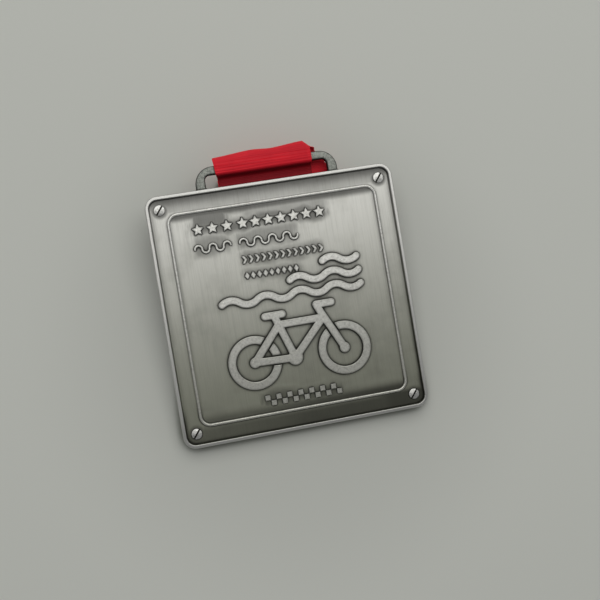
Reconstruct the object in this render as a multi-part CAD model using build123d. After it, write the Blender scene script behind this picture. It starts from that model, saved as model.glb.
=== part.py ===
from build123d import *

import os
from math import atan2, cos, degrees, hypot, radians, sin, sqrt, tan

# A square finisher medal with a ribbon loop on its top edge and a folded neck ribbon.
#
# Every piece is drawn in the medal's own frame, in millimetres: X to the right, Y towards the
# ribbon loop, Z out of the front face, with the middle of the back face at the origin. At the
# end set_down lays the medal down: its bottom edge on the ground, its top edge raised by the folded
# ribbon under it.

# ---- driving dimensions --------------------------------------------------------------------------
PLATE_SIDE = 65.0
PLATE_CORNER_RADIUS = 3.3
PLATE_THICKNESS = 4.0
RIM_WIDTH = 0.85  # from the outer edge to the top of the inner slope
RIM_HEIGHT = 1.0  # from the sunk face to the top of the rim
RIM_SLOPE = 18.0  # draft of the rim's inner side, in degrees
RIM_OUTER_ROUND = 0.30
RIM_INNER_ROUND = 0.18
BACK_EDGE_ROUND = 0.30
BACK_BORDER = 2.5  # flat border round the recess in the back
BACK_RECESS = 0.25

BORDER_INSET = 5.23  # from the outer edge to the middle of the raised line
BORDER_WIDTH = 0.80
BORDER_HEIGHT = 0.50
BORDER_CORNER_RADIUS = 2.6

SCREW_INSET = 3.60
SCREW_HEAD_DIAMETER = 2.70
SCREW_HEAD_EDGE = 0.45  # height of the head's straight side
SCREW_DOME = 0.16
SCREW_SLOT_WIDTH = 0.44
SCREW_SLOT_DEPTH = 0.45
SCREW_SLOT_ANGLE = 52.0
SHANK_DIAMETER = 1.40
SHANK_LENGTH = 1.70
SHANK_CLEARANCE = 0.03
SEAT_DIAMETER = 3.05
SEAT_DEPTH = 0.25

LOOP_WIDTH = 37.4
LOOP_LEG = 2.6
LOOP_BAR = 2.2
LOOP_THICKNESS = 2.0
LOOP_BACK = 0.6  # height of the loop's back above the plate's back
LOOP_CORNER_RADIUS = 4.6
LOOP_EDGE_ROUND = 0.5
SLOT_HEIGHT = 3.6
SLOT_CORNER_RADIUS = 1.3
SOLDER_WIDTH = 0.20
SOLDER_HEIGHT = 0.35

JOINT_GAP = 0.01  # between a raised piece, a screw head or a stitch and what it sits on
RELIEF_HEIGHT = 0.60
RELIEF_ROUND = 0.24
ROW_HEIGHT = 0.50  # relief of the small ornament rows
ROW_EDGE = 0.14
RELIEF_GAP = 0.28  # groove kept round a bar that crosses a wheel

RIBBON_LEFT = -13.3  # the ribbon is 25 wide; its two legs are a little out of line with each other
RIBBON_RIGHT = 14.5
RIBBON_AIR = 0.35  # between the folded ribbon and the plate's back
TURN_INNER_RADIUS = 1.45
TURN_OUTER_RADIUS = 1.85
STACK_INNER_RADIUS = 2.0
STACK_OUTER_RADIUS = 3.1
STACK_FAR_Y = -22.0
STACK_NEAR_Y = 36.4

STITCH_LENGTH = 1.3
STITCH_WIDTH = 0.30
STITCH_HEIGHT = 0.15
STITCHES_PER_ROW = 13
SEAM_ROWS_Y = (6.0, 14.0)

TILT = 8.0  # the medal's slope as it lies on its folded ribbon

# ---- sizes that follow ---------------------------------------------------------------------------
HALF = PLATE_SIDE / 2
FACE = PLATE_THICKNESS - RIM_HEIGHT
BAR_Y = HALF + SLOT_HEIGHT + LOOP_BAR / 2
BAR_Z = LOOP_BACK + LOOP_THICKNESS / 2
SLOT_WIDTH = LOOP_WIDTH - 2 * LOOP_LEG


def rounded_square(side, radius, height, z, taper=0.0):
    """A square prism with round corners, standing on height z."""
    return Pos(0, 0, z) * extrude(RectangleRounded(side, side, radius), height, taper=taper)


def relief(sketch, height=RELIEF_HEIGHT, edge=RELIEF_ROUND, ease=fillet):
    """Raises each separate face of a sketch from the sunk face of the plate, and eases its top edges."""
    raised = []
    for face in sketch.faces():
        solid = Pos(0, 0, FACE + JOINT_GAP) * extrude(face, height)
        raised.append(ease(solid.edges().group_by(Axis.Z)[-1], edge))
    return Compound(children=raised)


def bar(start, end, width):
    """A flat bar with round ends between two points."""
    run_x = end[0] - start[0]
    run_y = end[1] - start[1]
    middle = ((start[0] + end[0]) / 2, (start[1] + end[1]) / 2, 0)
    slot = SlotCenterToCenter(hypot(run_x, run_y), width)
    return Location(middle, (0, 0, degrees(atan2(run_y, run_x)))) * slot


def corner_places(inset):
    """The four corners, that far in from the plate's edges."""
    reach = HALF - inset
    return [(x, y) for x in (-reach, reach) for y in (-reach, reach)]


# ---- the casting ---------------------------------------------------------------------------------
def medal_plate():
    """The casting: a raised rim round a sunk face, with screw seats in front and a recess behind."""
    plate = rounded_square(PLATE_SIDE, PLATE_CORNER_RADIUS, PLATE_THICKNESS, 0)
    plate = fillet(plate.edges().group_by(Axis.Z)[-1], RIM_OUTER_ROUND)
    plate = fillet(plate.edges().group_by(Axis.Z)[0], BACK_EDGE_ROUND)

    slope_width = RIM_HEIGHT * tan(radians(RIM_SLOPE))
    floor_side = PLATE_SIDE - 2 * (RIM_WIDTH + slope_width)
    floor_radius = PLATE_CORNER_RADIUS - RIM_WIDTH - slope_width
    plate -= rounded_square(floor_side, floor_radius, RIM_HEIGHT + 0.001, FACE, -RIM_SLOPE)
    rim_top = plate.faces().sort_by(Axis.Z)[-1]
    plate = fillet(rim_top.inner_wires()[0].edges(), RIM_INNER_ROUND)

    back_side = PLATE_SIDE - 2 * BACK_BORDER
    plate -= rounded_square(back_side, PLATE_CORNER_RADIUS - BACK_BORDER / 2, BACK_RECESS, 0)

    hole_radius = SHANK_DIAMETER / 2 + SHANK_CLEARANCE
    for x, y in corner_places(SCREW_INSET):
        plate -= Pos(x, y, FACE - SEAT_DEPTH) * extrude(Circle(SEAT_DIAMETER / 2), SEAT_DEPTH)
        hole_depth = SEAT_DEPTH + SHANK_LENGTH + SHANK_CLEARANCE
        plate -= Pos(x, y, FACE - hole_depth) * extrude(Circle(hole_radius), hole_depth)
    return plate


def inner_border():
    """The raised line that frames the panel, with a round top."""
    middle = PLATE_SIDE - 2 * BORDER_INSET
    outer = RectangleRounded(
        middle + BORDER_WIDTH, middle + BORDER_WIDTH, BORDER_CORNER_RADIUS + BORDER_WIDTH / 2
    )
    inner = RectangleRounded(
        middle - BORDER_WIDTH, middle - BORDER_WIDTH, BORDER_CORNER_RADIUS - BORDER_WIDTH / 2
    )
    return relief(outer - inner, BORDER_HEIGHT, BORDER_WIDTH * 0.42)


# ---- the loop ------------------------------------------------------------------------------------
def loop_outline():
    """The loop seen from the front: a bar on two legs, rounded outside and inside."""
    height = SLOT_HEIGHT + LOOP_BAR
    outer = Pos(0, HALF + height / 2) * Rectangle(LOOP_WIDTH, height)
    outer = fillet(outer.vertices().group_by(Axis.Y)[-1], LOOP_CORNER_RADIUS)
    slot = Pos(0, HALF + SLOT_HEIGHT / 2) * Rectangle(SLOT_WIDTH, SLOT_HEIGHT)
    slot = fillet(slot.vertices().group_by(Axis.Y)[-1], SLOT_CORNER_RADIUS)
    return outer - slot


def ribbon_loop():
    """The bail that the ribbon goes through, joined to the plate's top edge below the rim."""
    loop = Pos(0, 0, LOOP_BACK) * extrude(loop_outline(), LOOP_THICKNESS)
    rims = loop.edges().filter_by(Axis.Z, reverse=True)
    rims = rims.filter_by(lambda edge: edge.center().Y > HALF + 0.01)
    return fillet(rims, LOOP_EDGE_ROUND)


def loop_solder():
    """A thin bead of solder round the root of each leg."""
    loop = ribbon_loop()
    leg_x = (LOOP_WIDTH - LOOP_LEG) / 2
    beads = []
    for side in (-1, 1):
        bead = Pos(side * leg_x, HALF + SOLDER_HEIGHT / 2, BAR_Z) * Box(
            LOOP_LEG + 2 * SOLDER_WIDTH, SOLDER_HEIGHT, LOOP_THICKNESS + 2 * SOLDER_WIDTH
        )
        bead = fillet(bead.edges().filter_by(Axis.Y), LOOP_EDGE_ROUND)
        bead = chamfer(bead.faces().sort_by(Axis.Y)[-1].edges(), SOLDER_WIDTH * 0.6)
        beads.append(bead - loop)
    return Compound(children=[solid for bead in beads for solid in bead.solids()])


# ---- the corner screws ---------------------------------------------------------------------------
def corner_screw():
    """A slotted screw with a low domed head, its head's underside at the origin."""
    radius = SCREW_HEAD_DIAMETER / 2
    head_top = SCREW_HEAD_EDGE + SCREW_DOME
    profile = Polyline((0, head_top), (0, -SHANK_LENGTH), (SHANK_DIAMETER / 2, -SHANK_LENGTH))
    profile += Polyline((SHANK_DIAMETER / 2, -SHANK_LENGTH), (SHANK_DIAMETER / 2, 0), (radius, 0))
    profile += Line((radius, 0), (radius, SCREW_HEAD_EDGE))
    dome_radius = (radius**2 + SCREW_DOME**2) / (2 * SCREW_DOME)
    half_chord = radius / 2
    dome_middle = head_top - dome_radius + sqrt(dome_radius**2 - half_chord**2)
    profile += ThreePointArc((radius, SCREW_HEAD_EDGE), (half_chord, dome_middle), (0, head_top))
    screw = revolve(Plane.XZ * make_face(profile), Axis.Z)
    slot = Pos(0, 0, head_top - SCREW_SLOT_DEPTH / 2 + 0.2) * Box(
        SCREW_HEAD_DIAMETER + 1, SCREW_SLOT_WIDTH, SCREW_SLOT_DEPTH + 0.4
    )
    return screw - Rot(0, 0, SCREW_SLOT_ANGLE) * slot


def corner_screws():
    """Four alike, in the corners of the gutter between the rim and the raised line."""
    screw = corner_screw()
    seat = FACE - SEAT_DEPTH + JOINT_GAP
    return Compound(children=[Pos(x, y, seat) * screw for x, y in corner_places(SCREW_INSET)])


# ---- the ornament rows ---------------------------------------------------------------------------
def star_row():
    """Ten five-pointed stars in a group of three and a group of seven."""
    outer_radius = 1.70
    inner_radius = 0.80
    row_y = 22.5
    first_group = [-20.1 + 3.77 * i for i in range(3)]
    second_group = [-8.5 + 3.37 * i for i in range(7)]
    corners = []
    for i in range(10):
        angle = radians(90 + 36 * i)
        radius = inner_radius if i % 2 else outer_radius
        corners.append((radius * cos(angle), radius * sin(angle)))
    star = Polygon(*corners, align=None)
    stars = Sketch() + [Pos(x, row_y) * star for x in first_group + second_group]
    return relief(stars, ROW_HEIGHT, ROW_EDGE, chamfer)


def wave(start_x, middle_y, half_waves, half_length, rise, width):
    """A raised wavy band: one arc for each half wave, up and down in turn."""
    line = Curve()
    end_x = start_x + half_waves * half_length
    for i in range(half_waves):
        left = start_x + i * half_length
        top = middle_y + (rise if i % 2 == 0 else -rise)
        right = left + half_length
        line += ThreePointArc((left, middle_y), (left + half_length / 2, top), (right, middle_y))
    ends = [Pos(x, middle_y) * Circle(width / 2) for x in (start_x, end_x)]
    return Sketch() + [trace(line, width), *ends]


def wave_line():
    """Two thin wavy lines side by side."""
    row_y = 17.5
    rise = 1.0
    line = 0.5
    first = wave(-21.6, row_y, 5, 1.85, rise, line)
    second = wave(-10.0, row_y, 8, 1.9, rise, line)
    return relief(Sketch() + [first, second], ROW_HEIGHT, ROW_EDGE)


def chevron_row():
    """Thirteen bold chevrons that point to the right."""
    row_start = -10.2
    row_y = 13.1
    pitch = 1.68
    half_height = 1.0
    arm = 0.72
    reach = 0.68
    chevron = Polygon(
        (reach, 0),
        (0, -half_height),
        (arm, -half_height),
        (arm + reach, 0),
        (arm, half_height),
        (0, half_height),
        align=None,
    )
    chevrons = Sketch() + [Pos(row_start + pitch * i, row_y) * chevron for i in range(13)]
    return relief(chevrons, ROW_HEIGHT, ROW_EDGE, chamfer)


def lozenge_row():
    """Nine bold lozenges."""
    row_start = -9.5
    row_y = 8.9
    pitch = 1.62
    half_width = 0.66
    half_height = 1.0
    corners = [(-half_width, 0), (0, -half_height), (half_width, 0), (0, half_height)]
    lozenge = Polygon(*corners, align=None)
    lozenges = Sketch() + [Pos(row_start + pitch * i, row_y) * lozenge for i in range(9)]
    return relief(lozenges, ROW_HEIGHT, ROW_EDGE, chamfer)


def finish_band():
    """A chequered band, two squares high."""
    square = 1.45
    gap = 0.12
    columns = 14
    top_row = -23.1
    left = -square * (columns - 1) / 2
    land = Rectangle(square - gap, square - gap)
    places = [(left + square * i, top_row - square * (i % 2)) for i in range(columns)]
    lands = Sketch() + [Pos(x, y) * land for x, y in places]
    return relief(lands, ROW_HEIGHT, ROW_EDGE, chamfer)


# ---- the emblem: a plain bicycle under three waves -----------------------------------------------
WHEEL_RADIUS = 7.0
TYRE_WIDTH = 2.15
HUB_RADIUS = 1.4
WHEEL_Y = -13.6
REAR_HUB = (-11.2, WHEEL_Y)
FRONT_HUB = (12.6, WHEEL_Y)
CRANK = (-0.6, -14.0)
SEAT_TOP = (-4.3, -2.8)
SEAT_JOINT = (-3.6, -4.9)
HEAD_TOP = (7.5, -2.8)
HEAD_JOINT = (8.2, -4.9)
SADDLE = ((-6.8, -2.3), (-2.2, -2.3))
GRIP = ((6.9, -1.3), (11.0, -1.3))
CHAINRING_RADIUS = 2.0
TUBE_WIDTH = 2.0


def bicycle_sketch(grow=0.0):
    """Frame, fork, saddle and handlebar as round-ended bars, each wider by grow on both sides."""
    width = TUBE_WIDTH + 2 * grow
    tubes = [
        (CRANK, SEAT_TOP),
        (SEAT_JOINT, HEAD_JOINT),
        (CRANK, HEAD_JOINT),
        (REAR_HUB, CRANK),
        (REAR_HUB, SEAT_JOINT),
        (HEAD_TOP, FRONT_HUB),
    ]
    tubes += [SADDLE, (HEAD_TOP, GRIP[0]), GRIP]
    chainring = Pos(*CRANK) * Circle(CHAINRING_RADIUS + grow)
    hubs = [Pos(*hub) * Circle(HUB_RADIUS + grow) for hub in (REAR_HUB, FRONT_HUB)]
    return Sketch() + [bar(start, end, width) for start, end in tubes] + [chainring, *hubs]


def wheel(hub):
    """A wheel's ring, parted by a groove from the bars that cross it."""
    ring = Pos(*hub) * (Circle(WHEEL_RADIUS) - Circle(WHEEL_RADIUS - TYRE_WIDTH))
    return relief(ring - bicycle_sketch(RELIEF_GAP))


def bicycle_frame():
    return relief(bicycle_sketch())


def swim_waves():
    """Three wavy bands above the bicycle, stepped up to the right."""
    band = 1.9
    half_wave = 4.6
    rise = 0.8
    low = wave(-17.2, 2.4, 8, half_wave, rise, band)
    middle = wave(1.2, 6.0, 4, half_wave, rise, band)
    high = wave(10.4, 9.6, 2, half_wave, rise, band)
    return relief(Sketch() + [low, middle, high])


# ---- the ribbon ----------------------------------------------------------------------------------
def ground_z(y):
    """Height of the ground under the tilted medal, in the medal's frame."""
    return ground_at_edge() - (y + HALF) * tan(radians(TILT))


def ground_at_edge():
    """Where the ground meets the plane of the plate's bottom edge, under the rounded back edge."""
    tilt = radians(TILT)
    centre = -BACK_EDGE_ROUND * sin(tilt) - BACK_EDGE_ROUND * cos(tilt) + BACK_EDGE_ROUND
    return -centre / cos(tilt)


def ribbon_turn():
    """The turn of the ribbon round the loop's bar: a sleeve that slides along it."""
    sleeve = Circle(TURN_OUTER_RADIUS) - Circle(TURN_INNER_RADIUS)
    return across_ribbon(Pos(BAR_Y, BAR_Z) * sleeve)


def across_ribbon(side_view):
    """Extrudes a shape drawn in Y and Z across the width of the ribbon."""
    upright = Plane(origin=(RIBBON_LEFT, 0, 0), x_dir=(0, 1, 0), z_dir=(1, 0, 0))
    return extrude(upright * side_view, RIBBON_RIGHT - RIBBON_LEFT)


def ribbon_stack():
    """The ribbon's legs, from round the sleeve through the slot, and the folds under the plate."""
    side_view = Polygon(
        (STACK_FAR_Y, ground_z(STACK_FAR_Y)),
        (STACK_NEAR_Y, ground_z(STACK_NEAR_Y)),
        (BAR_Y - 0.2, BAR_Z - 5.6),
        (BAR_Y + 1.8, BAR_Z - 2.5),
        (BAR_Y, BAR_Z),
        (HALF - 0.3, -RIBBON_AIR),
        (STACK_FAR_Y, -RIBBON_AIR),
        align=None,
    )
    side_view += Pos(BAR_Y, BAR_Z) * Circle(STACK_OUTER_RADIUS)
    side_view -= Pos(BAR_Y, BAR_Z) * Circle(STACK_INNER_RADIUS)
    return across_ribbon(side_view)


def ribbon_seam():
    """Two rows of stitches that close the neck ribbon into a loop, on the fold next to the plate."""
    pitch = (RIBBON_RIGHT - RIBBON_LEFT - 3.0) / STITCHES_PER_ROW
    middle_x = (RIBBON_LEFT + RIBBON_RIGHT) / 2
    on_its_base = (Align.CENTER, Align.CENTER, Align.MIN)
    stitch = Box(STITCH_LENGTH, STITCH_WIDTH, STITCH_HEIGHT, align=on_its_base)
    first_x = middle_x - pitch * (STITCHES_PER_ROW - 1) / 2
    top = -RIBBON_AIR + JOINT_GAP
    stitches = []
    for row_y in SEAM_ROWS_Y:
        for i in range(STITCHES_PER_ROW):
            stitches.append(Pos(first_x + pitch * i, row_y, top) * stitch)
    return Compound(children=stitches)


# ---- the whole object ----------------------------------------------------------------------------
PIECES = {
    "medal_plate": medal_plate(),
    "inner_border": inner_border(),
    "ribbon_loop": ribbon_loop(),
    "loop_solder": loop_solder(),
    "corner_screws": corner_screws(),
    "star_row": star_row(),
    "wave_line": wave_line(),
    "chevron_row": chevron_row(),
    "lozenge_row": lozenge_row(),
    "rear_wheel": wheel(REAR_HUB),
    "front_wheel": wheel(FRONT_HUB),
    "bicycle_frame": bicycle_frame(),
    "swim_waves": swim_waves(),
    "finish_band": finish_band(),
    "ribbon_turn": ribbon_turn(),
    "ribbon_stack": ribbon_stack(),
    "ribbon_seam": ribbon_seam(),
}


def placed(piece, location):
    """The piece's solids, each moved on its own, so that a group of solids stays a flat group."""
    return Compound(children=[location * solid for solid in piece.solids()])


tilt = Rot(TILT, 0, 0)
box = Compound(children=[placed(piece, tilt) for piece in PIECES.values()]).bounding_box()
set_down = Pos(0, -(box.min.Y + box.max.Y) / 2, -box.min.Z) * tilt

os.makedirs("parts", exist_ok=True)
for name, piece in PIECES.items():
    export_step(placed(piece, set_down), f"parts/{name}.step")

bar_axis = set_down * Pos(0, BAR_Y, BAR_Z)
slot_middle = set_down * Pos(0, HALF + SLOT_HEIGHT / 2, BAR_Z)
print("overall size", box.size)
print("bar axis", bar_axis.position)
print("slot middle", slot_middle.position)
print("middle of the plate's back", set_down.position)
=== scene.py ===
"""Looks of the square finisher medal: metals, the folded ribbon and its thread, floor, light and camera."""

import math
import random

import bpy
import numpy as np
from mathutils import Matrix, Vector


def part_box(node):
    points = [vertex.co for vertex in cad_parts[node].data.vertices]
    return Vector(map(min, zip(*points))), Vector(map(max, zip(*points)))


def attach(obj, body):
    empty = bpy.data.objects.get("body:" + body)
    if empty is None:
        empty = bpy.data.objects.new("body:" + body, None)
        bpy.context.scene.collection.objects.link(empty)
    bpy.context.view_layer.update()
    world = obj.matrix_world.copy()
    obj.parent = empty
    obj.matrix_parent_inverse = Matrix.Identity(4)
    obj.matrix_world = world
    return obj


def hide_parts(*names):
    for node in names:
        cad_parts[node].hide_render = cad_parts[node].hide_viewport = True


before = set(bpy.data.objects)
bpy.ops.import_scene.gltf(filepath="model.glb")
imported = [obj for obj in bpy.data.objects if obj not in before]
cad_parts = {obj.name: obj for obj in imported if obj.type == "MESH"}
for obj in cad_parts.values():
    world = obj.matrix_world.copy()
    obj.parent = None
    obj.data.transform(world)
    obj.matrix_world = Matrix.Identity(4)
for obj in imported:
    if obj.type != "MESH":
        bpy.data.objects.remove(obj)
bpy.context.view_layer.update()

MM = 0.001

# ---- the medal's own frame -------------------------------------------------------------------------------
# X to the right, Y towards the loop, Z out of the face, origin in the middle of the back, as in the CAD.
MEDAL_TILT = math.radians(8)
PLATE_THICKNESS = 4 * MM
FACE_Z = 3.0  # millimetres from the plate's back to its sunk face
SCREW_PLACE = 28.9  # millimetres from the middle, in X and in Y


def medal_frame():
    """The matrix that takes the medal's own frame to the scene."""
    low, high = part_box("medal_plate")
    tilt = Matrix.Rotation(MEDAL_TILT, 4, "X")
    return Matrix.Translation((low + high) / 2) @ tilt @ Matrix.Translation((0, 0, -PLATE_THICKNESS / 2))


def add_object(name, data):
    """Puts a new object with this mesh, camera or light in the scene."""
    made = bpy.data.objects.new(name, data)
    bpy.context.scene.collection.objects.link(made)
    return made


MEDAL = medal_frame()
MEDAL_MM = MEDAL @ Matrix.Scale(MM, 4)  # takes millimetres in the medal's frame to the scene

# ---- camera ----------------------------------------------------------------------------------------------
CAMERA_DISTANCE = 0.2331
CAMERA_AIM = Vector((2.9, 0.5, 4.0)) * MM  # on the rim's top, in the medal's frame
CAMERA_SIDE = math.radians(-7.9)
CAMERA_LIFT = math.radians(-0.5)
CAMERA_ROLL = math.radians(-9.5)


def make_camera():
    data = bpy.data.cameras.new("camera")
    data.sensor_width = 36
    data.lens = 54
    data.clip_start = 0.01
    camera = add_object("camera", data)
    side = Matrix.Rotation(CAMERA_SIDE, 4, "Y")
    lift = Matrix.Rotation(CAMERA_LIFT, 4, "X")
    roll = Matrix.Rotation(CAMERA_ROLL, 4, "Z")
    back_off = Matrix.Translation((0, 0, CAMERA_DISTANCE))
    camera.matrix_world = MEDAL @ Matrix.Translation(CAMERA_AIM) @ side @ lift @ roll @ back_off
    bpy.context.scene.camera = camera


make_camera()


# ---- materials: short calls for shader nodes -------------------------------------------------------------
class Shader:
    """One material and the nodes that feed its Principled surface."""

    def __init__(self, name):
        self.material = bpy.data.materials.new(name)
        self.material.use_nodes = True
        self.tree = self.material.node_tree
        self.surface = self.tree.nodes["Principled BSDF"]

    def feed(self, socket, value):
        if isinstance(value, bpy.types.NodeSocket):
            self.tree.links.new(value, socket)
        else:
            socket.default_value = value

    def set(self, **values):
        """Sets the surface's sockets, named with underscores for spaces."""
        for name, value in values.items():
            self.feed(self.surface.inputs[name.replace("_", " ")], value)

    def add(self, kind, settings=None, **inputs):
        node = self.tree.nodes.new("ShaderNode" + kind)
        for name, value in (settings or {}).items():
            setattr(node, name, value)
        for name, value in inputs.items():
            self.feed(node.inputs[name.replace("_", " ")], value)
        return node

    def math(self, operation, first, second=0.0):
        node = self.add("Math", {"operation": operation})
        self.feed(node.inputs[0], first)
        self.feed(node.inputs[1], second)
        return node.outputs[0]

    def chain(self, operation, first, *others):
        """One math operation over any number of values."""
        for other in others:
            first = self.math(operation, first, other)
        return first

    def times(self, *values):
        return self.chain("MULTIPLY", *values)

    def plus(self, *values):
        return self.chain("ADD", *values)

    def most(self, *values):
        return self.chain("MAXIMUM", *values)

    def step(self, value, low, high, start=0.0, end=1.0):
        """Goes smoothly from start to end as value goes from low to high."""
        node = self.add("MapRange", {"interpolation_type": "SMOOTHSTEP"})
        for socket, number in zip(node.inputs, (value, low, high, start, end)):
            self.feed(socket, number)
        return node.outputs[0]

    def scaled(self, vector, scale):
        node = self.add("VectorMath", {"operation": "MULTIPLY"})
        self.feed(node.inputs[0], vector)
        self.feed(node.inputs[1], scale)
        return node.outputs[0]

    def noise(self, vector, scale, detail=2.0, roughness=0.5):
        node = self.add("TexNoise", Vector=vector, Scale=scale, Detail=detail, Roughness=roughness)
        return node.outputs["Fac"]

    def mix(self, share, first, second):
        node = self.add("Mix", {"data_type": "RGBA"})
        self.feed(node.inputs["Factor"], share)
        self.feed(node.inputs[6], first)
        self.feed(node.inputs[7], second)
        return node.outputs[2]

    def blend(self, share, first, second):
        """Mixes two numbers."""
        node = self.add("Mix", {"data_type": "FLOAT"})
        self.feed(node.inputs["Factor"], share)
        self.feed(node.inputs[2], first)
        self.feed(node.inputs[3], second)
        return node.outputs[0]

    def bump(self, height, distance):
        return self.add("Bump", Height=height, Distance=distance).outputs["Normal"]

    def medal_place(self):
        """Where a point is in the medal's own frame, in millimetres."""
        turn = Matrix.Rotation(-MEDAL_TILT, 3, "X")
        place = self.add("TexCoord").outputs["Object"]
        mapping = self.add("Mapping", Vector=place)
        mapping.inputs["Scale"].default_value = (1 / MM, 1 / MM, 1 / MM)
        mapping.inputs["Rotation"].default_value = (-MEDAL_TILT, 0, 0)
        mapping.inputs["Location"].default_value = -(turn @ MEDAL.translation) / MM
        return mapping.outputs[0]

    def facing(self):
        """1 where the surface faces the way the medal's face does, 0 where it stands upright."""
        node = self.add("VectorMath", {"operation": "DOT_PRODUCT"})
        self.feed(node.inputs[0], self.add("TexCoord").outputs["Normal"])
        self.feed(node.inputs[1], MEDAL.to_3x3() @ Vector((0, 0, 1)))
        return node.outputs["Value"]

    def openness(self, distance):
        """1 in the open, falling towards 0 in corners narrower than distance."""
        node = self.add("AmbientOcclusion", {"samples": 16})
        node.inputs["Distance"].default_value = distance
        return node.outputs["AO"]

    def edge_closeness(self, distance, most):
        """0 in the middle of a piece's side, rising to most at its edges."""
        node = self.add("AmbientOcclusion", {"samples": 8, "inside": True})
        node.inputs["Distance"].default_value = distance
        return self.step(node.outputs["AO"], 0.55, 0.95, most, 0.0)


SILVER = (0.625, 0.625, 0.59, 1)
SHADED_OLIVE_SILVER = (0.385, 0.394, 0.312, 1)
# Dull, less polished silver; also painted shade near the edges of wide relief tops.
DULL_AND_SHADED_SILVER = (0.20, 0.20, 0.172, 1)
RIM_SILVER = (0.62, 0.62, 0.59, 1)
SHADED_RIM_SILVER = (0.53, 0.53, 0.50, 1)
WORN_SILVER = (0.74, 0.74, 0.70, 1)
POLISHED_SILVER = (0.89, 0.89, 0.85, 1)
SHADED_WORN_SILVER = (0.60, 0.60, 0.54, 1)
# Dark patina in the plate's hollows; also painted shade on the loop and down in the screw slots.
PATINA_AND_SHADE = (0.028, 0.028, 0.024, 1)
SHADED_SIDE_SILVER = (0.36, 0.36, 0.335, 1)
BACK_SILVER = (0.50, 0.50, 0.465, 1)
CAST_GREY = (0.38, 0.40, 0.36, 1)
DULL_CAST_GREY = (0.22, 0.23, 0.21, 1)
FILED_GREY = (0.14, 0.147, 0.132, 1)
STEEL = (0.78, 0.78, 0.75, 1)
SCUFFED_STEEL = (0.48, 0.48, 0.45, 1)

# Where patina was left when the face was brushed, in millimetres in the medal's frame:
# (left, right, bottom, top, strength).
PATINA_PATCHES = [
    (-22.0, 13.6, 20.8, 24.6, 0.62),
    (-21.5, -11.5, 22.5, 27.8, 0.62),
    (-8.0, 14.6, 23.0, 27.5, 0.34),
    (-22.0, -12.0, 15.8, 20.6, 0.46),
    (-10.8, 5.4, 15.8, 20.6, 0.44),
    (-10.6, 11.4, 11.8, 14.9, 0.52),
    (-10.4, 4.4, 7.8, 10.6, 0.50),
    (-10.5, 10.5, -25.6, -22.0, 0.64),
    (-18.0, 21.0, -21.0, -7.0, 0.16),
]
# Landmarks, measured from the plate's middle: the raised line from 26.9 to 27.7, the foot of the rim at
# 31.7, the plate's edge at 32.5.
PATCH_EDGE = 1.4  # a patch fades over this much on either side of its outline
PANEL_STRAIGHT = 24.7  # the panel's sides run straight to this far from the middle
RIM_MIDDLE = 32.0  # from the plate's middle to the middle of the rim's top
RIM_BLEND = 0.1  # inner and outer side of the rim part over this much either way


def patches(shader, x, y):
    """How much patina the patches leave at a point."""
    total = 0.0
    for left, right, bottom, top, strength in PATINA_PATCHES:
        sides = (
            shader.step(x, left - PATCH_EDGE, left + PATCH_EDGE),
            shader.step(x, right + PATCH_EDGE, right - PATCH_EDGE),
            shader.step(y, bottom - PATCH_EDGE, bottom + PATCH_EDGE),
            shader.step(y, top + PATCH_EDGE, top - PATCH_EDGE),
        )
        total = shader.most(total, shader.times(strength, *sides))
    return total


def out_from_middle(shader, x, y, straight):
    """How far out a point is, measured as a square with rounded corners, sides straight to that far."""
    squares = []
    for place in (x, y):
        past = shader.math("SUBTRACT", shader.math("ABSOLUTE", place), straight)
        squares.append(shader.math("POWER", shader.most(past, 0.0), 2.0))
    return shader.plus(shader.math("SQRT", shader.plus(*squares)), straight)


def gutter_patina_and_shade(shader, x, y):
    """Patina in the gutter inside the rim, heaviest at the bottom and in its right corner, with painted
    shade in a band under the top rim.
    """
    bottom = shader.times(shader.step(y, -26.2, -28.8, 0.0, 0.83), shader.step(x, -36.0, 12.0, 0.66, 0.95))
    right = shader.times(shader.step(x, 30.3, 31.6), shader.step(y, 20.0, -26.0, 0.25, 0.85))
    corner = shader.times(shader.step(x, 4.0, 24.0), shader.step(y, -26.0, -28.2, 0.0, 0.84))
    left = shader.step(x, -29.8, -31.6, 0.0, 0.40)
    # Painted shade: a dark band under the top rim.
    top = shader.times(shader.step(y, 28.2, 31.2, 0.30, 0.72), shader.step(y, 27.6, 28.2))
    return shader.most(bottom, right, corner, left, top)


def panel_edge(shader, x, y):
    """Patina along the inner side of the raised line, heaviest along its top and bottom."""
    out = out_from_middle(shader, x, y, PANEL_STRAIGHT)
    inside = shader.step(out, 27.4, 27.1)
    sides = shader.step(out, 25.9, 26.9, 0.0, 0.36)
    top = shader.step(y, 24.6, 26.4, 0.0, 0.72)
    bottom = shader.times(shader.step(y, -23.6, -26.4), shader.step(x, -24.0, 22.0, 0.60, 0.84))
    return shader.times(inside, shader.most(sides, top, bottom))


def screw_rings(shader, x, y):
    """Patina in a ring round each corner screw."""
    from_x = shader.math("SUBTRACT", shader.math("ABSOLUTE", x), SCREW_PLACE)
    from_y = shader.math("SUBTRACT", shader.math("ABSOLUTE", y), SCREW_PLACE)
    squares = shader.plus(shader.math("POWER", from_x, 2.0), shader.math("POWER", from_y, 2.0))
    return shader.step(shader.math("SQRT", squares), 2.7, 1.6, 0.0, 0.62)


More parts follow.
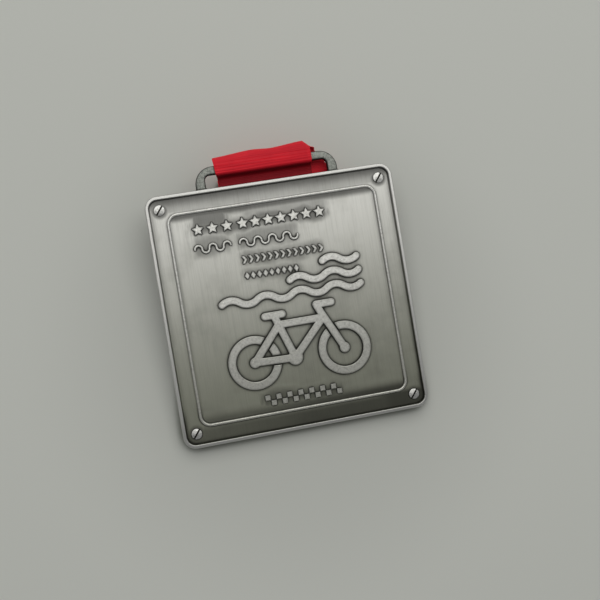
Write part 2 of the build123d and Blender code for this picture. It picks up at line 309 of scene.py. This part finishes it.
def corner_patina(shader, y, out, front):
    """Patina in corners and on upright sides, more than half wiped off near the plate's edges."""
    near = shader.step(shader.openness(1.1 * MM), 0.97, 0.62, 0.0, 0.96)
    wide = shader.step(shader.openness(4.5 * MM), 0.985, 0.70, 0.0, 0.80)
    wiped = shader.times(shader.step(out, 25.0, 26.6), shader.step(y, -26.0, -20.0))
    cornered = shader.times(shader.most(near, wide), shader.blend(wiped, 1.0, 0.40))
    inner_slope = shader.step(shader.facing(), 0.95, 0.60)
    inside_rim = shader.step(out, RIM_MIDDLE + RIM_BLEND, RIM_MIDDLE - RIM_BLEND)
    upright = shader.times(inner_slope, inside_rim, front, shader.blend(wiped, 0.85, 0.42))
    return shader.most(cornered, upright)


def brushed_silver(name):
    """The plate: silver brushed along Y, with a dark patina left round everything raised, and painted
    reflection and shade: darker and olive towards the bottom, and darker on its outer sides.
    """
    shader = Shader(name)
    place = shader.medal_place()
    x, y, z = shader.add("SeparateXYZ", Vector=place).outputs
    streaks = shader.noise(shader.scaled(place, (5.0, 0.10, 0.5)), 1.0, 3.0, 0.6)
    fine = shader.noise(shader.scaled(place, (24.0, 0.35, 1.0)), 1.0, 2.0, 0.5)
    cloud = shader.noise(place, 0.11, 3.0, 0.6)
    drawn_out = shader.noise(shader.scaled(place, (0.55, 0.12, 0.5)), 1.0, 3.0, 0.6)

    # Painted reflection: bright silver at the top fading to dark olive at the bottom.
    silver = shader.mix(shader.step(y, 33.0, -34.0), SILVER, SHADED_OLIVE_SILVER)
    silver = shader.mix(shader.step(streaks, 0.40, 0.75, 0.0, 0.20), silver, DULL_AND_SHADED_SILVER)
    silver = shader.mix(shader.step(cloud, 0.45, 0.75, 0.0, 0.24), silver, DULL_AND_SHADED_SILVER)
    # Painted shade: the rim darker along the bottom.
    rim = shader.mix(shader.step(y, -22.0, -32.0), RIM_SILVER, SHADED_RIM_SILVER)
    silver = shader.mix(shader.step(z, FACE_Z + 0.75, FACE_Z + 0.95), silver, rim)
    out = shader.most(shader.math("ABSOLUTE", x), shader.math("ABSOLUTE", y))
    outside_rim = shader.step(out, RIM_MIDDLE - RIM_BLEND, RIM_MIDDLE + RIM_BLEND)
    # Painted shade and reflection: the plate's outer sides darker.
    side = shader.times(shader.step(shader.facing(), 0.80, 0.35), outside_rim)
    silver = shader.mix(side, silver, SHADED_SIDE_SILVER)
    blasted = shader.noise(place, 7.0, 2.0, 0.6)
    back = shader.mix(shader.step(blasted, 0.35, 0.65), BACK_SILVER, DULL_AND_SHADED_SILVER)
    behind = shader.step(z, 0.45, 0.30)
    silver = shader.mix(behind, silver, back)

    ragged_x = shader.plus(x, shader.step(drawn_out, 0.25, 0.75, -1.2, 1.2))
    ragged_y = shader.plus(y, shader.step(cloud, 0.25, 0.75, -1.0, 1.0))
    front = shader.step(z, 1.0, 2.0)
    left_dark = shader.most(
        patches(shader, ragged_x, ragged_y),
        gutter_patina_and_shade(shader, x, y),
        panel_edge(shader, x, y),
        screw_rings(shader, x, y),
    )
    patina = shader.most(corner_patina(shader, y, out, front), shader.times(left_dark, front))
    below_rim_top = shader.step(z, FACE_Z + 0.85, FACE_Z + 0.6)
    patina = shader.times(patina, below_rim_top)
    colour = shader.mix(patina, silver, PATINA_AND_SHADE)

    brushing = shader.plus(shader.times(streaks, 0.4), shader.times(fine, 0.4))
    height = shader.blend(behind, brushing, shader.times(blasted, 2.0))
    smooth = shader.blend(patina, shader.blend(fine, 0.27, 0.38), 0.55)
    shader.set(
        Base_Color=colour,
        Metallic=1.0,
        Roughness=shader.blend(behind, smooth, 0.50),
        Normal=shader.bump(height, 0.03 * MM),
    )
    return shader.material


def worn_silver(name, side_patina, high=WORN_SILVER, edge_reach=None):
    """Everything raised: tops rubbed bright, sides left dark with patina, tops darker towards the bottom as
    painted reflection, and painted shade near the edges of wide tops.
    """
    shader = Shader(name)
    place = shader.medal_place()
    y = shader.add("SeparateXYZ", Vector=place).outputs[1]
    scuff = shader.noise(place, 1.6, 4.0, 0.6)
    fine = shader.noise(shader.scaled(place, (12.0, 1.2, 1.0)), 1.0, 2.0, 0.5)
    grain = shader.noise(place, 6.5, 2.0, 0.6)
    # Painted reflection: the tops darker towards the bottom.
    bright = shader.mix(shader.step(y, 26.0, -32.0), high, SHADED_WORN_SILVER)
    bright = shader.mix(shader.step(scuff, 0.42, 0.78, 0.0, 0.40), bright, DULL_AND_SHADED_SILVER)
    bright = shader.mix(shader.step(grain, 0.42, 0.70, 0.0, 0.32), bright, DULL_AND_SHADED_SILVER)
    # Painted shade near the edges of wide tops, rounding them.
    if edge_reach:
        bright = shader.mix(shader.edge_closeness(edge_reach, 0.75), bright, DULL_AND_SHADED_SILVER)
    side = shader.step(shader.facing(), 0.72, 0.20, 0.0, side_patina)
    colour = shader.mix(side, bright, PATINA_AND_SHADE)
    height = shader.plus(scuff, shader.times(fine, 0.4), shader.times(grain, 0.4))
    shader.set(
        Base_Color=colour,
        Metallic=1.0,
        Roughness=shader.blend(side, shader.blend(scuff, 0.26, 0.42), 0.55),
        Normal=shader.bump(height, 0.03 * MM),
    )
    return shader.material


def cast_grey(name):
    """The loop's rougher cast metal: dull grey with file marks, with painted shade on its sides, along its
    edges and in corners.
    """
    shader = Shader(name)
    place = shader.medal_place()
    grain = shader.noise(place, 2.2, 4.0, 0.6)
    pits = shader.noise(place, 8.0, 2.0, 0.5)
    filed = shader.noise(shader.scaled(place, (6.0, 0.7, 1.0)), 1.0, 3.0, 0.6)
    colour = shader.mix(shader.step(grain, 0.35, 0.70), CAST_GREY, DULL_CAST_GREY)
    colour = shader.mix(shader.step(filed, 0.42, 0.75, 0.0, 0.55), colour, FILED_GREY)
    # Painted shade: the loop's sides, edges and corners darkened, for the shading of a round bar and the
    # shade under it.
    side = shader.step(shader.facing(), 0.97, 0.50)
    cornered = shader.step(shader.openness(1.0 * MM), 0.95, 0.35)
    edge = shader.edge_closeness(0.6 * MM, 0.70)
    colour = shader.mix(shader.most(side, edge, cornered), colour, PATINA_AND_SHADE)
    height = shader.plus(grain, shader.times(pits, 0.4), shader.times(filed, 0.6))
    shader.set(
        Base_Color=colour,
        Metallic=1.0,
        Roughness=shader.blend(grain, 0.38, 0.56),
        Normal=shader.bump(height, 0.06 * MM),
    )
    return shader.material


def screw_metal(name):
    """Worn steel, with painted shade down in the slot and patina round the head's edge."""
    shader = Shader(name)
    place = shader.medal_place()
    z = shader.add("SeparateXYZ", Vector=place).outputs[2]
    scuff = shader.noise(place, 2.2, 4.0, 0.65)
    bright = shader.mix(shader.step(scuff, 0.35, 0.70), STEEL, SCUFFED_STEEL)
    # Painted shade down in the slot, and patina round the head's edge, below this height.
    colour = shader.mix(shader.step(z, FACE_Z + 0.24, FACE_Z + 0.08), bright, PATINA_AND_SHADE)
    shader.set(
        Base_Color=colour,
        Metallic=1.0,
        Roughness=shader.blend(scuff, 0.26, 0.46),
        Normal=shader.bump(scuff, 0.03 * MM),
    )
    return shader.material


def dress(node, material):
    """Gives a CAD node its material."""
    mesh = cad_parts[node].data
    mesh.materials.clear()
    mesh.materials.append(material)


def dress_metal():
    dress("medal_plate", brushed_silver("brushed_silver"))
    dress("inner_border", worn_silver("worn_silver_line", 0.5))
    narrow = worn_silver("worn_silver_narrow", 0.85)
    for node in ("star_row", "wave_line", "chevron_row", "lozenge_row", "finish_band"):
        dress(node, narrow)
    wide = worn_silver("worn_silver_wide", 0.95, POLISHED_SILVER, 0.6 * MM)
    for node in ("rear_wheel", "front_wheel", "bicycle_frame", "swim_waves"):
        dress(node, wide)
    cast = cast_grey("cast_loop")
    dress("ribbon_loop", cast)
    dress("loop_solder", cast)
    dress("corner_screws", screw_metal("screw_steel"))


dress_metal()

# ---- the ribbon ------------------------------------------------------------------------------------------
# All sizes are in millimetres in the medal's frame until the mesh is made.
RIBBON_WIDTH = 25.0
RIBBON_THICKNESS = 0.24
EDGE_ROUND = 0.12  # the woven edges thin out over about this much
PLY_PITCH = 0.30  # from one layer to the next in a pair
RUN_PITCH = 0.61  # from one pair to the next
RUNS = 12
FIRST_RUN_Z = -0.93
NEAR_END_Y = 35.6
FIRST_FAR_Y = -23.3
FAR_STEP = 4.34  # each lower pair stops this much nearer the loop, where the ground is
SAG = 1.5  # droop of the lowest pair at the near end
RIBBON_MIDDLE_X = 0.6
LEG_TOP_Y = 30.0  # where the turn's two legs meet the first pair
FOLD_ROOM = 0.5  # what a fold takes up of its run's length
FOLD_BULGE = 1.15  # how far a fold stands out, against a plain half circle
FOLD_STEPS = 8
NEAR_END_SPREAD = 2.0  # the folds by the loop stop short by up to this much
FAR_END_SPREAD = 1.2
SHIFT = 0.5  # how far a pair may lie to one side
RUN_STEP = 2.5  # about this much between the points along a run
TAB_Z = -0.48  # the ribbon's end, laid over the other end where they are sewn
TAB_ROWS_Y = (16.0, 14.0, 12.0, 10.0, 8.0, 6.0, 4.5)
TAB_DIVE = [(3.6, 0.05), (2.6, 0.22)]  # y, and how far down the tab has come there
TAB_END_Y = 1.6  # the upper layer carries on from here
UNDER_TAB_ROWS_Y = (27.0, 23.0, 19.0, 15.0, 11.0, 7.5, 4.2)  # the other end, down to its cut
FIRST_RUN_POINTS = 20  # only this many of the spine's first points can lie under the tab
CAP_STEPS = 6  # round the last fold, where the upper layer turns into the lower
SELVEDGE_FROM = RIBBON_WIDTH / 2 - 1.0  # the firmer woven edge starts here, from the middle
SLOT_RIGHT_X = 12.4  # the ribbon that lies in the slot's shade ends here
RIB_PITCH = 0.42
WARP_PITCH = 0.22
BRIGHT_RED = (0.96, 0.018, 0.036, 1)
DEEP_RED = (0.70, 0.009, 0.024, 1)
SHADE_RED = (0.12, 0.004, 0.010, 1)
random.seed(7)


def run_z(run, y):
    """Height of a pair of layers at y: level at the far end, drooping to the ground at the near end."""
    far_y = FIRST_FAR_Y + FAR_STEP * run
    share = max(0.0, (y - far_y) / (NEAR_END_Y - far_y))
    return FIRST_RUN_Z - RUN_PITCH * run - SAG * run / (RUNS - 1) * share


def spine():
    """The line that the ribbon's two legs follow together, zigzag, as (x, y, z) points."""
    points = []
    start_y = LEG_TOP_Y
    for run in range(RUNS):
        outward = run % 2 == 0
        pair = run + 1 if outward else run
        far_y = FIRST_FAR_Y + FAR_STEP * pair + FOLD_ROOM
        near_y = NEAR_END_Y - random.uniform(0.0, NEAR_END_SPREAD)
        end_y = far_y + random.uniform(0.0, FAR_END_SPREAD) if outward else near_y
        shift = random.uniform(-SHIFT, SHIFT)
        steps = max(3, int(abs(end_y - start_y) / RUN_STEP))
        for i in range(steps + 1):
            y = start_y + (end_y - start_y) * i / steps
            points.append((RIBBON_MIDDLE_X + shift, y, run_z(run, y)))
        if run < RUNS - 1:
            way = -1 if outward else 1
            points += fold(end_y, run_z(run, end_y), run_z(run + 1, end_y), way, shift)
        start_y = end_y
    return points


def fold(y, z_from, z_to, way, shift):
    """A half turn from one run down to the next, bulging a little."""
    radius = (z_from - z_to) / 2
    middle = (z_from + z_to) / 2
    turn = []
    for i in range(1, FOLD_STEPS):
        angle = math.pi * i / FOLD_STEPS
        bulge = radius * FOLD_BULGE * math.sin(angle)
        turn.append((RIBBON_MIDDLE_X + shift, y + way * bulge, middle + radius * math.cos(angle)))
    return turn


def beside(line, offset):
    """The line moved sideways in Y and Z by offset."""
    moved = []
    for i, point in enumerate(line):
        before = line[max(i - 1, 0)]
        after = line[min(i + 1, len(line) - 1)]
        along_y = after[1] - before[1]
        along_z = after[2] - before[2]
        share = offset / math.hypot(along_y, along_z)
        moved.append((point[0], point[1] - share * along_z, point[2] + share * along_y))
    return moved


def rows_across(line, columns):
    """Straight rows across the ribbon at each point of a line."""
    return [[Vector((x + RIBBON_WIDTH * u, y, z)) for u in columns] for x, y, z in line]


# The turn round the bar, from the outer leg under the plate, round the bar and down the slot to the inner
# leg: (y, z, left edge x, right edge x) of each control row.
TURN_ROWS = [
    (30.0, -1.08, -10.2, 15.6),
    (33.4, -1.10, -9.4, 16.9),
    (36.4, -1.00, -10.0, 15.9),
    (38.8, -0.70, -11.2, 14.1),
    (40.1, 0.35, -12.4, 13.8),
    (40.4, 1.65, -13.2, 12.8),
    (39.9, 2.75, -13.5, 12.3),
    (38.7, 3.15, -13.4, 12.25),
    (37.3, 3.20, -13.3, 12.25),
    (36.3, 3.05, -13.2, 12.25),
    (35.85, 2.45, -13.1, 12.2),
    (35.65, 1.40, -13.0, 12.2),
    (35.50, 0.35, -12.8, 12.2),
    (34.9, -0.50, -12.7, 12.2),
    (33.2, -0.76, -12.5, 12.2),
    (30.0, -0.78, -12.2, 12.8),
]
ROWS_PER_CONTROL = 12
TURN_TOP_Z = 2.6  # the creases are only above this
CREASES = [(38.75, 0.11), (38.0, 0.16), (37.25, 0.13), (36.6, 0.10)]  # y and depth of each
CREASE_WIDTH = 0.16
CREASE_DRIFT = 0.06  # how far a crease wanders in y
CREASE_SLANT = 0.010
CREASE_FADING = 0.18  # how much a crease's depth comes and goes
OUTER_FOLD_ROWS = {4: 0.7, 5: 1.0, 6: 0.8}  # how far each of these rows follows the fold's own outline
# The outer fold's outline: x, and how far it stands out there.
FOLD_OUTLINE = [(-13.4, -0.1), (-2.8, 0.7), (1.9, 0.4), (10.6, 1.1), (12.6, -0.7)]


def outline_at(x):
    """How far the outer fold stands out at x, easing from each given place to the next."""
    for (left, low), (right, high) in zip(FOLD_OUTLINE, FOLD_OUTLINE[1:]):
        if x <= right:
            share = max(0.0, (x - left) / (right - left))
            eased = (share + share**2 * (3 - 2 * share)) / 2
            return low + (high - low) * eased
    return FOLD_OUTLINE[-1][1]


def smooth_between(points, share):
    """A Catmull-Rom point between the middle two of four points."""
    a, b, c, d = points
    squared = (2 * a - 5 * b + 4 * c - d) * share**2
    cubed = (3 * b - a - 3 * c + d) * share**3
    return (2 * b + (c - a) * share + squared + cubed) / 2


def creased(point):
    """Lowers a point on the turn's flat top into the creases that run along the bar."""
    if point.z < TURN_TOP_Z:
        return point
    depth = 0.0
    for middle, deep in CREASES:
        drift = CREASE_DRIFT * math.sin(0.35 * point.x + 5.0 * middle) + CREASE_SLANT * point.x
        fading = 1 - CREASE_FADING + CREASE_FADING * math.sin(0.45 * point.x + 3.0 * middle)
        depth += deep * fading * math.exp(-(((point.y - middle - drift) / CREASE_WIDTH) ** 2))
    return point - Vector((0, 0, depth))


def turn_rows(columns):
    """The rows of the turn round the bar, with its uneven outer fold and its creases."""
    control = []
    for k, (y, z, left, right) in enumerate(TURN_ROWS):
        row = []
        for u in columns:
            x = left + (right - left) * (u + 0.5)
            row.append(Vector((x, y + OUTER_FOLD_ROWS.get(k, 0.0) * outline_at(x), z)))
        control.append(row)
    padded = [control[0], *control, control[-1]]
    rows = []
    for k in range(len(control) - 1):
        around = list(zip(*padded[k : k + 4]))
        for i in range(ROWS_PER_CONTROL):
            rows.append([creased(smooth_between(four, i / ROWS_PER_CONTROL)) for four in around])
    rows.append(control[-1])
    return rows


def ribbon_columns():
    """Places across the ribbon, from -0.5 to 0.5, closer together at the edges."""
    inner = [-0.46 + 0.92 * i / 22 for i in range(23)]
    return [-0.5, -0.4975, -0.49, *inner, 0.49, 0.4975, 0.5]


def end_cap(line):
    """The small half turn at the end of the line, from its upper layer to its lower."""
    last_x, last_y, last_z = line[-1]
    way = 1 if last_y > line[-2][1] else -1
    cap = []
    for i in range(1, CAP_STEPS):
        angle = math.pi * (i / CAP_STEPS - 0.5)
        reach = way * PLY_PITCH / 2 * math.cos(angle)
        cap.append((last_x, last_y + reach, last_z - PLY_PITCH / 2 * math.sin(angle)))
    return cap


def ribbon_rows(columns):
    """Every row of the whole ribbon, from one sewn end round to the other."""
    middle = spine()
    upper = beside(middle, -PLY_PITCH / 2)
    lower = beside(middle, PLY_PITCH / 2)
    tab = [(RIBBON_MIDDLE_X, y, TAB_Z) for y in TAB_ROWS_Y]
    tab += [(RIBBON_MIDDLE_X, y, TAB_Z - down) for y, down in TAB_DIVE]
    past_tab = [point for i, point in enumerate(upper) if i > FIRST_RUN_POINTS or point[1] < TAB_END_Y]
    under_tab = [(RIBBON_MIDDLE_X, y, FIRST_RUN_Z + PLY_PITCH / 2) for y in UNDER_TAB_ROWS_Y]
    rows = rows_across(tab + past_tab + end_cap(middle) + lower[::-1], columns)
    rows += turn_rows(columns)[1:]
    rows += rows_across(under_tab, columns)
    return rows


def both_sides(rows, columns):
    """The ribbon's upper and lower surface round its middle rows, thinning out at the woven edges."""
    normals = np.cross(np.gradient(rows, axis=0), np.gradient(rows, axis=1))
    normals /= np.linalg.norm(normals, axis=2, keepdims=True)
    from_edge = (0.5 - np.abs(columns)) * RIBBON_WIDTH
    half = RIBBON_THICKNESS / 2 * np.sqrt(np.clip(0.25 + from_edge / EDGE_ROUND, 0, 1))
    offset = normals * half[None, :, None]
    return rows + offset, rows - offset


def closed_faces(count, wide):
    """Faces of a closed sheet of count rows by wide columns, its lower points after its upper ones."""
    below = count * wide
    faces = []
    for i in range(count - 1):
        for j in range(wide - 1):
            a = i * wide + j
            faces.append((a, a + wide, a + wide + 1, a + 1))
            faces.append((below + a, below + a + 1, below + a + wide + 1, below + a + wide))
    for i in range(count - 1):
        a = i * wide
        b = a + wide - 1
        faces.append((a, below + a, below + a + wide, a + wide))
        faces.append((b, b + wide, below + b + wide, below + b))
    for j in range(wide - 1):
        a = (count - 1) * wide + j
        faces.append((j, j + 1, below + j + 1, below + j))
        faces.append((a, below + a, below + a + 1, a + 1))
    return faces


def add_lay(mesh, columns, travelled):
    """Stores each point's place on the flat ribbon, across and along, for the cloth material."""
    values = np.zeros((len(travelled), len(columns), 3), np.float32)
    values[..., 0] = columns[None, :] * RIBBON_WIDTH
    values[..., 1] = travelled[:, None]
    lay = mesh.attributes.new("lay", "FLOAT_VECTOR", "POINT")
    lay.data.foreach_set("vector", np.concatenate([values.reshape(-1, 3)] * 2).ravel())


def make_ribbon(material):
    """The whole ribbon as one closed mesh, and its length in millimetres."""
    columns = np.array(ribbon_columns())
    rows = np.array([[tuple(point) for point in row] for row in ribbon_rows(columns)])
    count, wide = rows.shape[:2]
    points = np.concatenate([side.reshape(-1, 3) for side in both_sides(rows, columns)])
    mesh = bpy.data.meshes.new("neck_ribbon")
    mesh.from_pydata([MEDAL_MM @ Vector(point) for point in points], [], closed_faces(count, wide))
    steps = np.linalg.norm(np.diff(rows[:, wide // 2], axis=0), axis=1)
    travelled = np.concatenate([[0], np.cumsum(steps)])
    add_lay(mesh, columns, travelled)
    mesh.materials.append(material)
    for polygon in mesh.polygons:
        polygon.use_smooth = True
    return add_object("neck_ribbon", mesh), travelled[-1]


def ribbon_cloth(name):
    """Red polyester ribbon, finely ribbed across, with a firmer woven edge."""
    shader = Shader(name)
    lay = shader.add("Attribute", {"attribute_name": "lay"}).outputs["Vector"]
    across, along, _ = shader.add("SeparateXYZ", Vector=lay).outputs
    rib = shader.math("SINE", shader.times(along, 2 * math.pi / RIB_PITCH))
    warp = shader.math("SINE", shader.times(across, 2 * math.pi / WARP_PITCH))
    slub = shader.noise(shader.scaled(lay, (0.035, 1.5, 1.0)), 1.0, 3.0, 0.55)
    faded = shader.noise(shader.scaled(lay, (0.15, 0.15, 1.0)), 1.0, 2.0, 0.5)
    edge = shader.step(shader.math("ABSOLUTE", across), SELVEDGE_FROM - 0.1, SELVEDGE_FROM + 0.1)
    colour = shader.mix(shader.step(slub, 0.32, 0.68, 0.0, 0.8), BRIGHT_RED, DEEP_RED)
    colour = shader.mix(shader.step(faded, 0.40, 0.70, 0.0, 0.4), colour, DEEP_RED)
    colour = shader.mix(shader.times(edge, 0.25), colour, BRIGHT_RED)
    x = shader.add("SeparateXYZ", Vector=shader.medal_place()).outputs[0]
    shade = shader.step(shader.openness(5.0 * MM), 0.80, 0.30, 0.0, 0.80)
    shade = shader.times(shade, shader.step(x, SLOT_RIGHT_X + 0.2, SLOT_RIGHT_X - 0.2))
    colour = shader.mix(shade, colour, SHADE_RED)
    height = shader.plus(
        shader.times(rib, 0.35),
        shader.times(warp, 0.10),
        shader.times(slub, 1.2),
        shader.times(edge, 0.5),
    )
    shader.set(
        Base_Color=colour,
        Roughness=shader.blend(slub, 0.45, 0.62),
        Specular_IOR_Level=0.25,
        Sheen_Weight=0.05,
        Sheen_Roughness=0.35,
        Sheen_Tint=(1.0, 0.10, 0.12, 1),
        Normal=shader.bump(height, 0.06 * MM),
    )
    return shader.material


ribbon, ribbon_length = make_ribbon(ribbon_cloth("red_ribbon"))
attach(ribbon, "folded_ribbon")
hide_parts("ribbon_turn", "ribbon_stack")

# ---- the seam's thread -----------------------------------------------------------------------------------
SEAM_ROWS_Y = (6.0, 14.0)
STITCHES_PER_ROW = 13
STITCH_PITCH = 1.9077
FIRST_STITCH_X = -10.85
STITCH_SLANT = 0.06  # at most, in y over half a stitch
STITCH_REACH = 0.72  # from a stitch's middle to where it dives into the ribbon
THREAD_RADIUS = 0.13
STITCH_TOP_Z = -0.35  # the thread's middle line at the top of a stitch
STITCH_DIVE = 0.22
STITCH_STEPS = 12
THREAD_SIDES = 10
THREAD_RED = (0.68, 0.010, 0.024, 1)
THREAD_GROOVE_SHADE_RED = (0.36, 0.004, 0.012, 1)
THREAD_FUZZ_RED = (0.30, 0.004, 0.010, 1)


def stitch_rings(middle_x, row_y):
    """Rings of points round one stitch's thread, from one end to the other."""
    slant = random.uniform(-STITCH_SLANT, STITCH_SLANT)
    rings = []
    for i in range(STITCH_STEPS + 1):
        t = 2 * i / STITCH_STEPS - 1
        z = STITCH_TOP_Z - STITCH_DIVE * t**4
        middle = Vector((middle_x + STITCH_REACH * t, row_y + slant * t, z))
        slope = math.atan2(-4 * STITCH_DIVE * t**3, STITCH_REACH)
        up = Vector((-math.sin(slope), 0, math.cos(slope)))
        ring = []
        for k in range(THREAD_SIDES):
            angle = 2 * math.pi * k / THREAD_SIDES
            out = math.sin(angle) * up + math.cos(angle) * Vector((0, 1, 0))
            ring.append(middle + THREAD_RADIUS * out)
        rings.append(ring)
    return rings


def make_thread(material):
    """All the stitches of both rows: short humps of thread that dive into the ribbon at each end."""
    points = []
    faces = []
    for row_y in SEAM_ROWS_Y:
        for i in range(STITCHES_PER_ROW):
            rings = stitch_rings(FIRST_STITCH_X + STITCH_PITCH * i, row_y)
            start = len(points)
            points += [MEDAL_MM @ point for ring in rings for point in ring]
            for r in range(STITCH_STEPS):
                for k in range(THREAD_SIDES):
                    a = start + r * THREAD_SIDES + k
                    b = start + r * THREAD_SIDES + (k + 1) % THREAD_SIDES
                    faces.append((a, b, b + THREAD_SIDES, a + THREAD_SIDES))
            last = start + STITCH_STEPS * THREAD_SIDES
            faces.append(tuple(range(start + THREAD_SIDES - 1, start - 1, -1)))
            faces.append(tuple(range(last, last + THREAD_SIDES)))
    mesh = bpy.data.meshes.new("seam_thread")
    mesh.from_pydata(points, [], faces)
    mesh.materials.append(material)
    for polygon in mesh.polygons:
        polygon.use_smooth = len(polygon.vertices) == 4
    return add_object("seam_thread", mesh)


def thread_yarn(name):
    """Twisted red sewing thread, a little darker and shinier than the ribbon."""
    shader = Shader(name)
    place = shader.medal_place()
    x, y, z = shader.add("SeparateXYZ", Vector=place).outputs
    turned = shader.plus(shader.times(x, 38.0), shader.times(y, 9.0), shader.times(z, 9.0))
    twist = shader.math("SINE", turned)
    fuzz = shader.noise(place, 14.0, 2.0, 0.6)
    # Painted shade in the grooves of the twist.
    colour = shader.mix(shader.step(twist, -0.6, 0.6), THREAD_GROOVE_SHADE_RED, THREAD_RED)
    colour = shader.mix(shader.step(fuzz, 0.45, 0.75, 0.0, 0.35), colour, THREAD_FUZZ_RED)
    shader.set(
        Base_Color=colour,
        Roughness=shader.blend(fuzz, 0.36, 0.55),
        Specular_IOR_Level=0.35,
        Normal=shader.bump(shader.plus(twist, fuzz), 0.02 * MM),
    )
    return shader.material


thread = make_thread(thread_yarn("red_thread"))
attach(thread, "folded_ribbon")
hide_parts("ribbon_seam")

# ---- floor and light -------------------------------------------------------------------------------------
FLOOR_REACH = 4.0
FLOOR_GREY = (0.70, 0.716, 0.66, 1)
# Painted shadow on the floor: a dim pool round the medal, and a darker contact shadow.
DIM_FLOOR_GREY = (0.40, 0.408, 0.375, 1)
SHADOW_GREY = (0.24, 0.25, 0.21, 1)
DIM_MIDDLE = (0.0, -14.0 * MM, 0.0)
SOFTBOX_PLACE = Vector((0.08, 0.46, 0.75))
SOFTBOX_SIZE = (1.0, 1.06)
SOFTBOX_POWER = 3.95
SOFTBOX_COLOUR = (1.0, 0.99, 0.965)
GLOW_COLOUR = (0.97, 0.98, 1.0, 1)


def floor_paint():
    """Pale grey, with a painted shadow: a little dimmer round the medal and darkest where something touches
    it.
    """
    shader = Shader("floor")
    away = shader.add("VectorMath", {"operation": "DISTANCE"})
    shader.feed(away.inputs[0], shader.add("TexCoord").outputs["Object"])
    shader.feed(away.inputs[1], DIM_MIDDLE)
    dim = shader.step(away.outputs["Value"], 75.0 * MM, 35.0 * MM, 0.0, 0.22)
    colour = shader.mix(dim, FLOOR_GREY, DIM_FLOOR_GREY)
    contact_shadow = shader.step(shader.openness(3.0 * MM), 0.92, 0.48)
    shader.set(Base_Color=shader.mix(contact_shadow, colour, SHADOW_GREY), Roughness=0.85)
    return shader.material


def make_floor():
    mesh = bpy.data.meshes.new("floor")
    corners = [(x * FLOOR_REACH, y * FLOOR_REACH, 0) for x, y in ((-1, -1), (1, -1), (1, 1), (-1, 1))]
    mesh.from_pydata(corners, [], [(0, 1, 2, 3)])
    mesh.materials.append(floor_paint())
    add_object("floor", mesh)


def make_softbox():
    """A large soft light behind the loop's side, turned straight down."""
    data = bpy.data.lights.new("softbox", "AREA")
    data.shape = "RECTANGLE"
    data.size, data.size_y = SOFTBOX_SIZE
    data.energy = SOFTBOX_POWER
    data.color = SOFTBOX_COLOUR
    light = add_object("softbox", data)
    light.location = SOFTBOX_PLACE
    light.rotation_euler = Vector((0, 0, -1)).to_track_quat("-Z", "Y").to_euler()


def make_world():
    """An even glow from all round, strongest near the horizon and weaker overhead."""
    world = bpy.data.worlds.new("studio")
    bpy.context.scene.world = world
    world.use_nodes = True
    nodes = world.node_tree.nodes
    links = world.node_tree.links
    background = nodes["Background"]
    background.inputs["Color"].default_value = GLOW_COLOUR
    upward = nodes.new("ShaderNodeSeparateXYZ")
    links.new(nodes.new("ShaderNodeTexCoord").outputs["Generated"], upward.inputs[0])
    glow = nodes.new("ShaderNodeMapRange")
    glow.interpolation_type = "SMOOTHSTEP"
    links.new(upward.outputs[2], glow.inputs["Value"])
    for name, value in {"From Min": 0.65, "From Max": 0.10, "To Min": 0.20, "To Max": 0.58}.items():
        glow.inputs[name].default_value = value
    links.new(glow.outputs[0], background.inputs["Strength"])


make_floor()
make_world()
make_softbox()
bpy.context.scene.view_settings.view_transform = "Standard"
